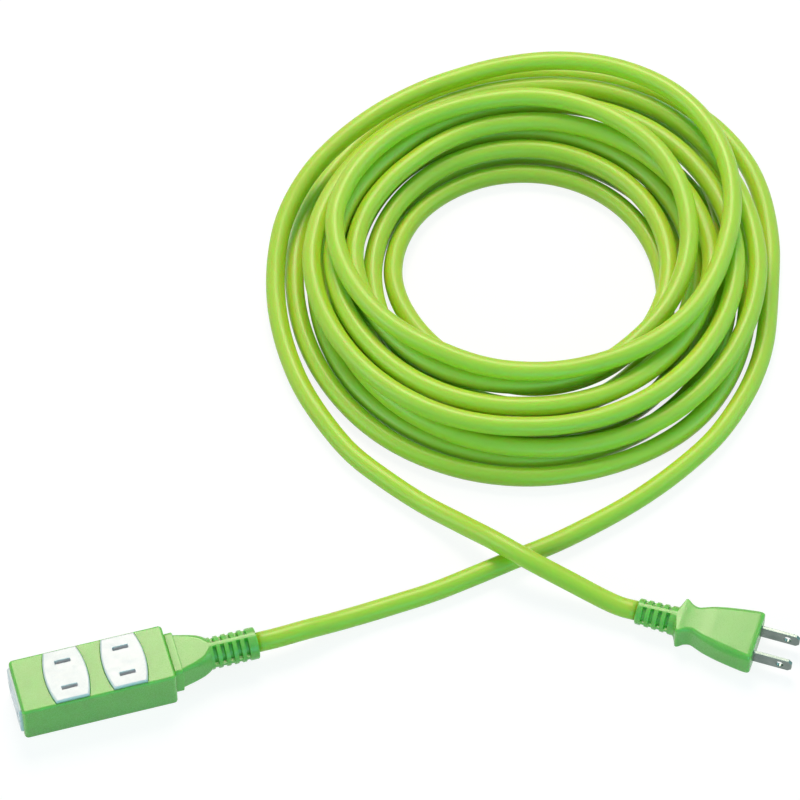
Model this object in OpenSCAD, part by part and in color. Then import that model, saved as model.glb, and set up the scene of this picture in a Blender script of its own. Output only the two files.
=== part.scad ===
// Two-wire extension cord: a tap with three outlets, a round cord lying in a loose coil,
// and a moulded plug. Millimetres. The origin is under the middle of the tap, +X runs along
// the tap towards its cord, +Z is up, and everything lies on the plane z = 0.

/* [Tap case] */
// Length of the tap's case
tap_l = 65; // [64:1:100]
// Width of the tap's case
tap_w = 27; // [25:0.5:40]
// Height of the tap's case
tap_h = 19; // [18:0.5:28]
// Thickness of the case's walls
wall = 1.6; // [1.3:0.1:1.9]
// Radius of the case's upright corners
corner_r = 1.7; // [1.4:0.1:3.5]
// Radius of the case's top edge
edge_r = 1.2; // [0.4:0.1:1.3]
// Thickness of the bottom cover
base_t = 1.8; // [1.2:0.1:1.9]
// Width of the ledge that the bottom cover is welded to
ledge = 0.6; // [0.4:0.1:0.9]
// Clearance between pieces that fit together
fit_gap = 0.1; // [0.04:0.01:0.2]

/* [Outlet faces] */
// Height of an outlet face above the case
face_rise = 1.2; // [0.6:0.1:2]
// Distance from a top outlet face to the edge of the case
face_margin = 1.2; // [1.1:0.1:3]
// Distance from the end outlet's face to the edge of the case
end_margin = 1.9; // [1.9:0.1:3]
// Width of a top outlet face at its ends
face_end_w = 14; // [12:0.5:15]
// Width of a top outlet face at its middle
face_mid_w = 18; // [16:0.5:19]
// Distance between the two top outlets
outlet_pitch = 24.5; // [23:0.5:40]
// Thickness of the hidden flange behind a face
flange_t = 1.5; // [1:0.1:2]
// Width of the hidden flange around a face
flange_w = 1.2; // [0.6:0.1:1.6]
// Length of a blade slot
slot_l = 7; // [6.6:0.1:8]
// Width of a blade slot
slot_w = 2; // [1.7:0.1:2.6]

/* [Contacts] */
// Thickness of the contact strip
strip_t = 0.8; // [0.4:0.1:0.9]
// Width of a spring clip
clip_w = 6; // [4:0.5:7]
// Free play of a blade at the bottom of a clip
clip_play = 0.4; // [0.2:0.1:0.6]
// How much narrower than a blade the clip's mouth is
clip_pinch = 0.2; // [0.1:0.05:0.4]
// Room past the tip of an inserted blade
tip_room = 0.5; // [0.2:0.1:1]
// Thickness of the carrier's ribs
rib_t = 1; // [0.8:0.1:1.4]
// Room for a rib between two clips
rib_room = 1.9; // [1.6:0.1:3]
// Thickness of the carrier's spine
spine_t = 2; // [1:0.1:3]

/* [Tap strain relief] */
// Thickness of the collar outside the case
collar_t = 3.5; // [2:0.5:6]
// Distance from the collar to the case's side
collar_inset = 3; // [2:0.5:4]
// Distance from the collar to the case's top and bottom
collar_drop = 2; // [1:0.5:3]
// Length of the wedge behind the collar
wedge_l = 13; // [8:0.5:24]
// Width of the wedge where it leaves the collar
wedge_w = 19; // [15:0.5:21]
// Height of the wedge where it leaves the collar
wedge_h = 13.5; // [12:0.5:15]
// Length of the ribbed sleeve
sleeve_l = 20.5; // [19:0.5:40]
// Wall of the sleeve around the cord
sleeve_wall = 2.55; // [2.1:0.05:2.9]
// Wall of the neck that passes through the case, above and below the cord
neck_wall = 1.5; // [1:0.1:2.2]
// Width of that neck
neck_w = 15; // [12:0.5:17]
// Number of grooves in the sleeve
groove_n = 5; // [3:1:5]
// Distance from groove to groove
groove_pitch = 3.4; // [2.8:0.1:3.6]
// Width of a groove
groove_w = 1.6; // [0.8:0.1:1.8]
// Depth of a groove
groove_d = 1.6; // [0.4:0.1:1.6]
// Width of the four webs that cross the grooves
web_w = 1.6; // [1:0.1:3]

/* [Cord] */
// Diameter of the cord
cord_d = 8.4; // [7:0.1:8.5]
// Diameter of an insulated core
core_d = 3.2; // [2.4:0.1:3.3]
// Gap between the two cores
core_gap = 0.3; // [0.2:0.05:0.5]
// Diameter of a core's bare copper strands
strand_d = 1.8; // [1.2:0.1:2]
// Outer diameter of a crimp barrel
crimp_d = 3.2; // [2.4:0.1:3.4]
// Length of a crimp barrel
crimp_l = 3.5; // [2:0.5:5]

/* [Coil] */
// Radius of the coil's inner edge
coil_in = 60; // [58:1:80]
// Clearance between two layers of the coil
layer_gap = 0.6; // [0.5:0.1:1.5]

/* [Plug] */
// Distance between the two blades, and between the two slots of an outlet
blade_pitch = 12.7; // [12.7:0.1:13]
// Width of a blade
blade_w = 6.3; // [6:0.1:6.4]
// Thickness of a blade
blade_t = 1.5; // [1.3:0.1:1.6]
// Length of a blade in front of the plug
blade_l = 16.5; // [15:0.5:18]
// Diameter of the hole through a blade
blade_hole = 3; // [2:0.1:4]
// Distance from the plug's face to that hole
hole_x = 11.4; // [10:0.1:12.5]
// Length of a blade inside the plug
root_l = 10.2; // [9:0.1:12]
// Height of the plug's moulding
plug_h = 12.8; // [12.6:0.1:16]
// Width of the plug just behind its face
plug_w = 25; // [23:0.5:32]
// Width of the plug at its shoulder
shoulder_w = 22.9; // [21:0.1:24]
// Width of the plug where the grip starts to widen
grip_w = 19; // [16:0.1:20]
// Width of the plug at its waist
waist_w = 13; // [12:0.5:16]
// Width of the finger flange
finger_w = 17.4; // [16:0.1:24]
// Length of the plug from its strain relief to its face
plug_l = 34.5; // [32:0.5:45]
// Length of the plug's strain relief
tail_l = 17.5; // [16:0.5:30]
// Diameter of the strain relief where the cord leaves it
tail_d = 11; // [10.2:0.1:11.6]
// Diameter of the strain relief at the plug
tail_root_d = 12.4; // [11.7:0.1:12.6]
// Number of grooves in the plug's strain relief
tail_groove_n = 4; // [2:1:4]
// Thickness of the insulation around the blades' holder
bridge_wall = 1.1; // [0.8:0.1:1.6]
// Length of the blades' holder
bridge_l = 6.5; // [4:0.5:8]
// Thickness of the moulding in front of that holder
face_wall = 2; // [1:0.1:2.2]

/* [Hidden] */
$fn = 48;
cut = 1; // how far a cutting shape runs past what it cuts
thin = 0.01; // thickness of a section at the end of a hull

// The case and its raised end face together are centred on the origin.
case_x0 = -(tap_l + face_rise) / 2 + face_rise;
case_x1 = case_x0 + tap_l;
in_x0 = case_x0 + wall;
in_x1 = case_x1 - wall;
in_y = tap_w / 2 - wall;
in_z = tap_h - wall;
face_z = tap_h + face_rise;
face_x = case_x0 - face_rise;
face_l = tap_w - 2 * face_margin;
end_face_l = tap_w - 2 * end_margin;
end_face_h = tap_h - 2 * end_margin;
axis_z = tap_h / 2; // height of the cord and of the end outlet
under_z = in_z - flange_t; // underside of the top outlets' flanges

// Contacts, from the plane of a blade outwards. A clip's bend clears the bottom cover.
blade_y = blade_pitch / 2;
clip_in = (blade_t + clip_play) / 2;
clip_out = clip_in + strip_t;
clip_flare = 0.35; // how far a clip's mouth opens past the blade's room, on each side
mouth_l = 1.3; // length of that flared mouth
mouth_room = 4; // from the straight part of the end clip's leaves to their mouth's edge
clip_under = 0.6; // air below a clip
clip_over = 0.4; // air above a clip
clip_lead = clip_in + clip_flare;
clip_z0 = base_t + clip_under;
clip_z1 = under_z - clip_over;
clip_room = 0.4; // between a clip's mouth and the end face's flange
end_clip_x0 = in_x0 + flange_t + clip_room;
end_clip_x1 = face_x + blade_l + tip_room + strip_t;
outlet_1_x = end_clip_x1 + rib_room + clip_w / 2;
outlet_2_x = outlet_1_x + outlet_pitch;
strip_z0 = axis_z - clip_w / 2;
strip_x1 = outlet_2_x + clip_w / 2 + rib_room - 0.1;
rib_xs = [
  end_clip_x1 + rib_room / 2,
  (outlet_1_x + outlet_2_x) / 2,
  outlet_2_x + clip_w / 2 + rib_room / 2 - 0.05
];
crimp_y = blade_y + clip_out - crimp_d / 2 + 0.1; // the barrel's end meets the strip's end
core_y = (core_d + core_gap) / 2;
bare_l = 0.5; // bare strands between a crimp and the insulation
core_end = 0.6; // straight end of a core's insulation

// Strain relief, from the case outwards.
collar_w = tap_w - 2 * collar_inset;
collar_h = tap_h - 2 * collar_drop;
neck_h = cord_d + 2 * neck_wall;
relief_flange = 1; // how much wider and higher than its neck the relief's flange is
relief_x0 = in_x1 - fit_gap - flange_t;
collar_x = case_x1 + fit_gap;
wedge_x = collar_x + collar_t;
sleeve_x = wedge_x + wedge_l;
sleeve_d = cord_d + 2 * sleeve_wall;
exit_x = sleeve_x + sleeve_l;
groove_shift = -1.2; // the sleeve's plain end is longer than its plain start
groove_x = sleeve_x + (sleeve_l - (groove_n - 1) * groove_pitch) / 2 + groove_shift;

// Plug: its own X runs from the cord (0) along the blades, its Y across them.
plug_at = [228, -26.4];
plug_turn = -34;
plug_z = plug_h / 2;
plug_x0 = tail_l;
plug_face = tail_l + plug_l;
blade_x0 = plug_face - root_l;
plug_crimp_x = blade_x0 - crimp_l;
bridge_x1 = plug_face - face_wall;
bridge_side = 1.6; // insulation beside a blade
bridge_w = blade_pitch + blade_t + 2 * bridge_side;
bridge_h = blade_w + 2 * bridge_wall;
tail_in = 0.2; // how far the strain relief runs into the plug
tail_plain = 0.6; // its plain stretch next to the plug
tail_floor = 0.6; // its wall at the bottom of a groove
part_l = 8; // length over which the two cores part
jacket_x1 = plug_crimp_x - bare_l - part_l;
finger_at = 1.7; // from the strain relief to the finger flange, the neck behind it ...
neck_at = 4;
waist_at = 7.5;
grip_at = 15;
shoulder_at = 22.5;
finger_x = plug_x0 + finger_at;
neck_x = plug_x0 + neck_at;
waist_x = plug_x0 + waist_at;
grip_x = plug_x0 + grip_at;
shoulder_x = plug_x0 + shoulder_at;

// Coil, by turns from its start at the right of the lowest layer. It lies in four layers:
// drawn in, let out, drawn in again, then one loose loop on top that ends as the outermost
// strand and comes down beside the coil. The loops are uneven, as dropped by hand.
coil_at = [229.6, 151];
coil_turn = -16;
coil_turns = 12 + 7 / 12;
coil_rings = 24;
coil_stretch = 1.05;
layer_up = cord_d + layer_gap;
ease = 0.03; // turns over which a change in the lists below is spread
nudge = 0.01; // turns to the next point when a direction is taken

// [turn, distance outside the coil's inner edge]
coil_out = [
  [0, 42.5], [0.04, 45], [0.085, 50], [0.13, 52], [0.25, 47], [0.4, 44.5], [0.5, 45],
  [0.64, 47.5], [0.75, 45], [0.83, 44.5], [0.92, 38],
  [1, 34.5], [1.1, 42], [1.25, 38], [1.5, 33], [1.75, 34], [1.83, 33.5], [1.92, 30],
  [2, 27.5], [2.12, 27], [2.25, 22], [2.5, 21], [2.75, 22], [2.88, 20],
  [3, 13], [3.12, 9.5], [3.5, 9], [3.75, 8.5], [3.88, 5.5],
  [4, 0], [4.5, -0.5], [4.75, 0.5], [6.5, 17.8], [6.75, 20.5],
  [7, 26], [7.13, 38], [7.3, 30], [7.5, 28], [7.75, 30.8],
  [8, 41], [8.14, 41], [8.25, 32.5], [8.3, 30], [8.375, 30], [8.5, 35], [8.75, 26.5],
  [9, 32], [9.14, 29], [9.25, 21.5], [9.375, 19.2], [9.5, 24.8], [9.75, 17.5],
  [10, 22.5], [10.25, 11.2], [10.375, 8.6], [10.5, 14.4], [10.75, 8.5], [10.9, 10],
  [11, 13], [11.1, 17], [11.2, 15.5], [11.3, 13], [11.48, 23], [11.68, 11.5], [11.78, 11.5],
  [12, 29], [12.07, 41.5], [12.11, 47.7], [12.155, 49.4], [12.2, 46.7], [12.25, 41.6],
  [12.295, 37.4], [12.335, 36.8], [12.38, 38.9], [12.42, 43.6], [12.46, 46], [12.5, 46.4],
  [12.57, 48.8], [12.62, 51]
];
// [turn, layers above the lowest]
coil_up = [
  [4.36, 0], [4.64, 1], [7.86, 1], [8.14, 2], [10.82, 2], [11.06, 3], [12.15, 3],
  [12.29, 2.84], [12.34, 2.68], [12.38, 2.35], [12.46, 1.1], [12.5, 0.55], [12.54, 0.18],
  [12.58, 0]
];
// [turn, shift of the loop along the coil's own X] and the same along its Y
coil_x = [[0, 8], [2, 4], [8, 4], [11, 1], [12, 0]];
coil_y = [
  [0, 10], [2, 5], [4, 3], [8, 3], [10.3, 5.5], [11, 7], [11.25, 9.5], [11.75, 9.5],
  [12, 4], [12.07, 0]
];

// Free stretches: [x, y, height of the cord's underside]. The ends are added below.
tap_route = [
  [92, 1.3, 4.2], [104, 3.2, 1.7], [118, 4.8, 0.3], [132, 6, 0], [149, 7.5, 0],
  [167, 10.5, 0], [186, 14, 0], [204, 17, 0], [222, 21.5, 0], [239, 27, 0], [255, 33.5, 0],
  [271, 41.5, 0], [287, 50.5, 0], [302, 62.5, 0], [315, 76, 0], [326, 93, 0]
];
plug_route = [
  [127.3, 101.5, 0], [134.3, 84, 0], [145.6, 67, 0.3], [157.1, 51.4, 0.4],
  [168.8, 35.8, 3.6], [179, 20, 8.8], [188, 8.5, 9.6], [202.5, -5, 6.2]
];

function unit(v) = v / norm(v);
function smooth(x) = let(c = min(1, max(0, x))) c * c * (3 - 2 * c);
function raised(route) = [for (p = route) [p[0], p[1], p[2] + cord_d / 2]];
function turned(p, a) = [p[0] * cos(a) - p[1] * sin(a), p[0] * sin(a) + p[1] * cos(a), p[2]];

// The value of a list at turn t, with its corners eased
function eased(list, t) =
  (lookup(t - ease, list) + 2 * lookup(t, list) + lookup(t + ease, list)) / 4;
function coil_point(t) = let(
    a = 360 * t,
    r = coil_in + eased(coil_out, t),
    flat = [eased(coil_x, t) + r * cos(a), eased(coil_y, t) + coil_stretch * r * sin(a), 0],
    height = cord_d / 2 + layer_up * eased(coil_up, t)
  )
  turned(flat, coil_turn) + [coil_at[0], coil_at[1], height];
coil_body = [for (i = [0:coil_turns * coil_rings]) coil_point(i / coil_rings)];

// The coil's ends run straight for half a diameter, and each lead goes on the same way.
stub = cord_d / 2;
coil_a = coil_body[0];
coil_b = coil_body[len(coil_body) - 1];
dir_a = unit(coil_a - coil_point(nudge));
dir_b = unit(coil_b - coil_point(coil_turns - nudge));
level_a = unit([dir_a[0], dir_a[1], 0]);
level_b = unit([dir_b[0], dir_b[1], 0]);
coil_path = concat([coil_a + stub * level_a], coil_body, [coil_b + stub * level_b]);

tap_exit = [exit_x, 0, axis_z];
plug_dir = [cos(plug_turn), sin(plug_turn), 0];
plug_exit = [plug_at[0], plug_at[1], plug_z];
tap_lead = concat(
  [tap_exit, tap_exit + [cord_d, 0, 0]],
  raised(tap_route),
  [coil_a + 2 * stub * level_a, coil_a + stub * level_a]
);
plug_lead = concat(
  [coil_b + stub * level_b, coil_b + 2 * stub * level_b],
  raised(plug_route),
  [plug_exit - cord_d * plug_dir, plug_exit]
);

// Least gap of the coil to itself, between points at least three diameters apart on it
coil_step = floor(3 * cord_d / (2 * PI * coil_in / coil_rings)) + 1;
coil_gap = min([
  for (i = [0:len(coil_path) - coil_step - 1])
    min([for (j = [i + coil_step:len(coil_path) - 1]) norm(coil_path[i] - coil_path[j])])
]) - cord_d;
function path_l(p) = let(n = len(p)) [for (i = [1:n - 1]) norm(p[i] - p[i - 1])]
  * [for (i = [1:n - 1]) 1];
echo(coil_gap = coil_gap, coil_length = path_l(coil_path));
echo(tap_lead_length = path_l(tap_lead), plug_lead_length = path_l(plug_lead));

// Round bar swept along a path, with a corner of its outline underneath
module sweep(path, d, sides) {
  n = len(path);
  points = [
    for (i = [0:n - 1])
      let(
        along = unit(path[min(i + 1, n - 1)] - path[max(i - 1, 0)]),
        across = unit(cross([0, 0, 1], along)),
        up = cross(along, across)
      )
      for (k = [0:sides - 1])
        let(a = 360 * k / sides - 90) path[i] + d / 2 * (cos(a) * across + sin(a) * up)
  ];
  skin = [
    for (i = [0:n - 2], k = [0:sides - 1])
      let(j = (k + 1) % sides, a = i * sides)
      each [[a + k, a + sides + k, a + j], [a + j, a + sides + k, a + sides + j]]
  ];
  last = (n - 1) * sides;
  caps = [for (k = [1:sides - 2]) each [[0, k, k + 1], [last, last + k + 1, last + k]]];
  polyhedron(points = points, faces = concat(skin, caps));
}

// Upright rectangle in the YZ plane with round corners, extruded from x by l
module bar(x, l, w, h, r) {
  translate([x, 0, 0])
    rotate([90, 0, 90])
      linear_extrude(l)
        rounded(w, h, r);
}

module rounded(w, h, r) {
  square([w - 2 * r, h], center = true);
  square([w, h - 2 * r], center = true);
  for (x = [-1, 1], y = [-1, 1])
    translate([x * (w / 2 - r), y * (h / 2 - r)])
      circle(r);
}

module x_rod(x, l, d) {
  translate([x, 0, 0])
    rotate([0, 90, 0])
      cylinder(d = d, h = l);
}

// Outline of a top outlet face: straight ends and bowed sides
module barrel(grow) {
  half_l = face_l / 2 + grow;
  half_w = face_mid_w / 2 + grow;
  bow = (face_mid_w - face_end_w) / 2;
  r = (pow(half_l, 2) + pow(bow, 2)) / (2 * bow);
  intersection() {
    square([2 * half_w, 2 * half_l], center = true);
    translate([half_w - r, 0])
      circle(r, $fn = 180);
    translate([r - half_w, 0])
      circle(r, $fn = 180);
  }
}

module slots(depth) {
  for (y = [-blade_y, blade_y])
    translate([0, y, 0])
      cube([slot_l, slot_w, depth], center = true);
}

module case_block() {
  hull()
    for (x = [case_x0 + corner_r, case_x1 - corner_r], y = [-1, 1] * (tap_w / 2 - corner_r))
      translate([x, y, 0])
        rotate_extrude($fn = 32)
          intersection() {
            square([corner_r, tap_h]);
            union() {
              square([corner_r, tap_h - edge_r]);
              square([corner_r - edge_r, tap_h]);
              translate([corner_r - edge_r, tap_h - edge_r])
                circle(edge_r, $fn = 32);
            }
          }
}

module tap_shell() {
  inner_l = tap_l - 2 * wall;
  color("#8fcc5c")
    difference() {
      case_block();
      translate([in_x0, -in_y, -cut])
        cube([inner_l, 2 * in_y, in_z + cut]);
      translate([in_x0 - ledge, -in_y - ledge, -cut])
        cube([inner_l + 2 * ledge, 2 * (in_y + ledge), base_t + cut]);
      for (x = [outlet_1_x, outlet_2_x])
        translate([x, 0, in_z - cut])
          linear_extrude(wall + 2 * cut)
            barrel(fit_gap);
      translate([case_x0 - cut, -end_face_l / 2 - fit_gap, end_margin - fit_gap])
        cube([wall + 2 * cut, end_face_l + 2 * fit_gap, end_face_h + 2 * fit_gap]);
      translate([in_x1 - cut, -neck_w / 2 - fit_gap, -cut])
        cube([wall + 2 * cut, neck_w + 2 * fit_gap, axis_z + neck_h / 2 + fit_gap + cut]);
    }
}

// Bottom cover with the tab that closes the case's slot under the strain relief's neck
module tap_base() {
  half_y = in_y + ledge - fit_gap;
  color("#7fbf50") {
    translate([in_x0 - ledge + fit_gap, -half_y, 0])
      cube([in_x1 - in_x0 + 2 * (ledge - fit_gap), 2 * half_y, base_t - fit_gap / 2]);
    translate([in_x1, -neck_w / 2, 0])
      cube([wall, neck_w, axis_z - neck_h / 2 - fit_gap]);
  }
}

module outlet_face(x) {
  half_y = in_y - fit_gap;
  half_x = face_mid_w / 2 + flange_w;
  color("white")
    translate([x, 0, 0])
      difference() {
        union() {
          translate([0, 0, in_z - flange_t / 2])
            linear_extrude(wall + face_rise + flange_t / 2)
              barrel(0);
          translate([-half_x, -half_y, under_z])
            cube([2 * half_x, 2 * half_y, flange_t - fit_gap / 2]);
        }
        translate([0, 0, face_z])
          slots(2 * (face_z - under_z + cut));
      }
}

module outlet_face_1() {
  outlet_face(outlet_1_x);
}

module outlet_face_2() {
  outlet_face(outlet_2_x);
}

module outlet_face_end() {
  half_y = in_y - fit_gap;
  z0 = base_t + fit_gap;
  x0 = in_x0 + fit_gap / 2;
  color("white")
    difference() {
      union() {
        translate([face_x, -end_face_l / 2, end_margin])
          cube([face_rise + wall + flange_t / 2, end_face_l, end_face_h]);
        translate([x0, -half_y, z0])
          cube([flange_t - fit_gap / 2, 2 * half_y, in_z - fit_gap - z0]);
      }
      translate([face_x, 0, axis_z])
        rotate([0, 90, 0])
          slots(2 * (face_rise + wall + flange_t + cut));
    }
}

// Insulating carrier: a spine between the poles and ribs with notches for the strips
module contact_carrier() {
  spine_x0 = in_x0 + flange_t + fit_gap;
  notch = [blade_y + clip_in - fit_gap, blade_y + clip_out + fit_gap];
  top = under_z - fit_gap;
  color("#30343a")
    difference() {
      union() {
        translate([spine_x0, -spine_t / 2, base_t])
          cube([rib_xs[2] - spine_x0, spine_t, top - base_t]);
        for (x = rib_xs)
          translate([x - rib_t / 2, -in_y + fit_gap, base_t])
            cube([rib_t, 2 * (in_y - fit_gap), top - base_t]);
      }
      for (x = rib_xs, side = [0, 1])
        mirror([0, side, 0])
          translate([x - rib_t, notch[0], strip_z0])
            cube([2 * rib_t, notch[1] - notch[0], top]);
    }
}

// Spring clip in section: u across the blade, v from the bend to the mouth
module clip_section(depth, straight) {
  mouth = (blade_t - clip_pinch) / 2;
  leaf = [
    [clip_in, clip_out], [clip_in, straight], [mouth, depth - mouth_l], [clip_lead, depth]
  ];
  back = [for (i = [3:-1:0]) leaf[i] + [strip_t, 0]];
  for (side = [0, 1])
    mirror([side, 0])
      polygon(concat(leaf, back));
  translate([0, clip_out])
    difference() {
      circle(clip_out);
      circle(clip_in);
      translate([-clip_out - cut, 0])
        square([2 * (clip_out + cut), clip_out + cut]);
    }
}

module contact_bar(side) {
  top_straight = strip_z0 + clip_w - clip_z0;
  end_l = end_clip_x1 - end_clip_x0;
  color("#c8a048")
    mirror([0, side, 0])
      translate([0, -blade_y, 0]) {
        translate([end_clip_x1 - clip_out, -clip_out, strip_z0])
          cube([strip_x1 - end_clip_x1 + clip_out, strip_t, clip_w]);
        for (x = [outlet_1_x, outlet_2_x])
          translate([x - clip_w / 2, 0, clip_z0])
            rotate([90, 0, 90])
              linear_extrude(clip_w)
                clip_section(clip_z1 - clip_z0, top_straight);
        translate([end_clip_x1, 0, strip_z0])
          rotate([0, 0, 90])
            linear_extrude(clip_w)
              clip_section(end_l, end_l - mouth_room);
      }
}

module contact_bar_front() {
  contact_bar(0);
}

module contact_bar_back() {
  contact_bar(1);
}

module crimp(x) {
  translate([x, 0, 0])
    rotate([0, 90, 0])
      difference() {
        cylinder(d = crimp_d, h = crimp_l);
        translate([0, 0, -cut])
          cylinder(d = strand_d + fit_gap, h = crimp_l + 2 * cut);
      }
}

module tap_crimps() {
  color("#c8a048")
    for (y = [-crimp_y, crimp_y])
      translate([0, y, axis_z])
        crimp(strip_x1 + fit_gap / 2);
}

module tap_strands() {
  color("#b8683c")
    for (y = [-crimp_y, crimp_y])
      translate([0, y, axis_z])
        x_rod(strip_x1 + 2 * fit_gap, crimp_l + bare_l - 2 * fit_gap, strand_d);
}

// Insulated core: straight inside the jacket, out in an S, and straight to its crimp
function core_path(x_far, x0, x1, y0, y1, z) =
  let(s_l = x1 - x0 - sign(x1 - x0) * core_end)
  concat(
    [[x_far, y0, z]],
    [for (i = [0:8]) [x0 + s_l * i / 8, y0 + (y1 - y0) * smooth(i / 8), z]],
    [[x1, y1, z]]
  );

module tap_core(side) {
  core_x1 = strip_x1 + fit_gap / 2 + crimp_l + bare_l;
  bend_x = relief_x0 + core_end;
  sweep(core_path(exit_x, bend_x, core_x1, side * core_y, side * crimp_y, axis_z), core_d, 12);
}

module tap_core_black() {
  color("#202020")
    tap_core(-1);
}

module tap_core_white() {
  color("#f0f0f0")
    tap_core(1);
}

// Stretch of the cord's jacket inside a strain relief, with its two cores' channels
module cord_end(x, l) {
  difference() {
    x_rod(x, l, cord_d);
    for (y = [-core_y, core_y])
      translate([0, y, 0])
        x_rod(x - cut, l + 2 * cut, core_d + fit_gap);
  }
}

module tap_cord_end() {
  color("#9acd32")
    translate([0, 0, axis_z])
      cord_end(in_x1, exit_x - in_x1);
}

// Grooves in the four quarters of a sleeve, from radius r outwards
module grooves(x, n, r, d) {
  for (i = [0:n - 1])
    translate([x + i * groove_pitch - groove_w / 2, 0, 0])
      difference() {
        x_rod(0, groove_w, d + 2 * cut);
        x_rod(-cut, groove_w + 2 * cut, 2 * r);
        for (a = [0, 90])
          rotate([a, 0, 0])
            cube([4 * groove_w, 2 * d, web_w], center = true);
      }
}

module tap_relief() {
  color("#86c850")
    translate([0, 0, axis_z])
      difference() {
        union() {
          bar(relief_x0, flange_t, neck_w + relief_flange, neck_h + relief_flange, 1);
          bar(relief_x0, collar_x - relief_x0 + cut, neck_w, neck_h, 1);
          bar(collar_x, collar_t, collar_w, collar_h, 2);
          hull() {
            bar(wedge_x - cut, cut, wedge_w, wedge_h, 3);
            x_rod(sleeve_x, thin, sleeve_d);
          }
          x_rod(sleeve_x, sleeve_l, sleeve_d);
        }
        x_rod(relief_x0 - cut, exit_x - relief_x0 + 2 * cut, cord_d + fit_gap);
        grooves(groove_x, groove_n, sleeve_d / 2 - groove_d, sleeve_d);
      }
}

module cord_tap_lead() {
  color("#9acd32")
    sweep(tap_lead, cord_d, 12);
}

module cord_coil() {
  color("#9acd32")
    sweep(coil_path, cord_d, 6);
}

module cord_plug_lead() {
  color("#9acd32")
    sweep(plug_lead, cord_d, 12);
}

module on_plug() {
  translate([plug_at[0], plug_at[1], plug_z])
    rotate([0, 0, plug_turn])
      children();
}

// Moulding of the plug from station to station: [x, width, height, corner radius]
plug_stations = [
  [plug_x0, tail_root_d, tail_root_d, 4],
  [finger_x, finger_w, plug_h, 1.2],
  [neck_x, finger_w - 2.4, plug_h - 0.4, 1.6],
  [waist_x, waist_w, plug_h - 0.4, 1.8],
  [grip_x, grip_w, plug_h, 2.2],
  [shoulder_x, shoulder_w, plug_h, 2.6],
  [plug_face - 2, plug_w, plug_h, 2.2],
  [plug_face, plug_w - 3, plug_h - 1.2, 2.2]
];

module plug_skin() {
  for (i = [0:len(plug_stations) - 2])
    hull()
      for (s = [plug_stations[i], plug_stations[i + 1]])
        bar(s[0] - (s[0] == plug_face ? thin : 0), thin, s[1], s[2], s[3]);
}

// Pocket of the moulding: jacket, cores, crimps, blades and their holder
module plug_pocket() {
  x_rod(-cut, jacket_x1 + cut + fit_gap, cord_d + fit_gap);
  mouth_y = cord_d / 2;
  crimp_side = blade_y + crimp_d / 2 + fit_gap;
  translate([0, 0, -core_d / 2 - fit_gap])
    linear_extrude(core_d + 2 * fit_gap)
      polygon([
        [jacket_x1, -mouth_y], [plug_crimp_x - 3, -crimp_side], [plug_crimp_x, -crimp_side],
        [plug_crimp_x, crimp_side], [plug_crimp_x - 3, crimp_side], [jacket_x1, mouth_y]
      ]);
  for (y = [-blade_y, blade_y])
    translate([0, y, 0]) {
      x_rod(plug_crimp_x - fit_gap, crimp_l + 2 * fit_gap, crimp_d + 2 * fit_gap);
      translate([blade_x0 - fit_gap, -blade_t / 2 - fit_gap / 2, -blade_w / 2 - fit_gap / 2])
        cube([root_l + 2 * fit_gap + cut, blade_t + fit_gap, blade_w + fit_gap]);
    }
  bar(bridge_x1 - bridge_l - fit_gap, bridge_l + 2 * fit_gap,
    bridge_w + 2 * fit_gap, bridge_h + 2 * fit_gap, 1);
}

module plug_body() {
  color("#86c850")
    on_plug()
      difference() {
        union() {
          plug_skin();
          difference() {
            rotate([0, 90, 0])
              cylinder(d1 = tail_d, d2 = tail_root_d, h = plug_x0 + tail_in);
            grooves(tail_l - tail_groove_n * groove_pitch - tail_plain, tail_groove_n,
              cord_d / 2 + tail_floor, tail_root_d);
          }
        }
        plug_pocket();
      }
}

module plug_bridge() {
  color("#e8e8e0")
    on_plug()
      difference() {
        bar(bridge_x1 - bridge_l, bridge_l, bridge_w, bridge_h, 1);
        for (y = [-blade_y, blade_y])
          translate([bridge_x1 - bridge_l / 2, y, 0])
            cube([bridge_l + 2 * cut, blade_t + fit_gap, blade_w + fit_gap], center = true);
      }
}

module plug_blade(side) {
  tip = 1.4; // chamfer of the blade's tip
  half = blade_w / 2;
  x1 = plug_face + blade_l;
  color("#a0a8a4")
    on_plug()
      translate([0, side * blade_y + blade_t / 2, 0])
        rotate([90, 0, 0])
          linear_extrude(blade_t)
            difference() {
              polygon([
                [blade_x0, -half], [x1 - tip, -half], [x1, -half + tip],
                [x1, half - tip], [x1 - tip, half], [blade_x0, half]
              ]);
              translate([plug_face + hole_x, 0])
                circle(d = blade_hole);
            }
}

module plug_blade_front() {
  plug_blade(-1);
}

module plug_blade_back() {
  plug_blade(1);
}

module plug_crimps() {
  color("#c8a048")
    on_plug()
      for (y = [-blade_y, blade_y])
        translate([0, y, 0])
          crimp(plug_crimp_x - fit_gap / 2);
}

module plug_strands() {
  color("#b8683c")
    on_plug()
      for (y = [-blade_y, blade_y])
        translate([0, y, 0])
          x_rod(plug_crimp_x - bare_l, crimp_l + bare_l - 2 * fit_gap, strand_d);
}

module plug_core(side) {
  core_x1 = plug_crimp_x - bare_l;
  on_plug()
    sweep(core_path(0, jacket_x1, core_x1, side * core_y, side * blade_y, 0), core_d, 12);
}

module plug_core_black() {
  color("#202020")
    plug_core(-1);
}

module plug_core_white() {
  color("#f0f0f0")
    plug_core(1);
}

module plug_cord_end() {
  color("#9acd32")
    on_plug()
      cord_end(0, jacket_x1);
}

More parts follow.
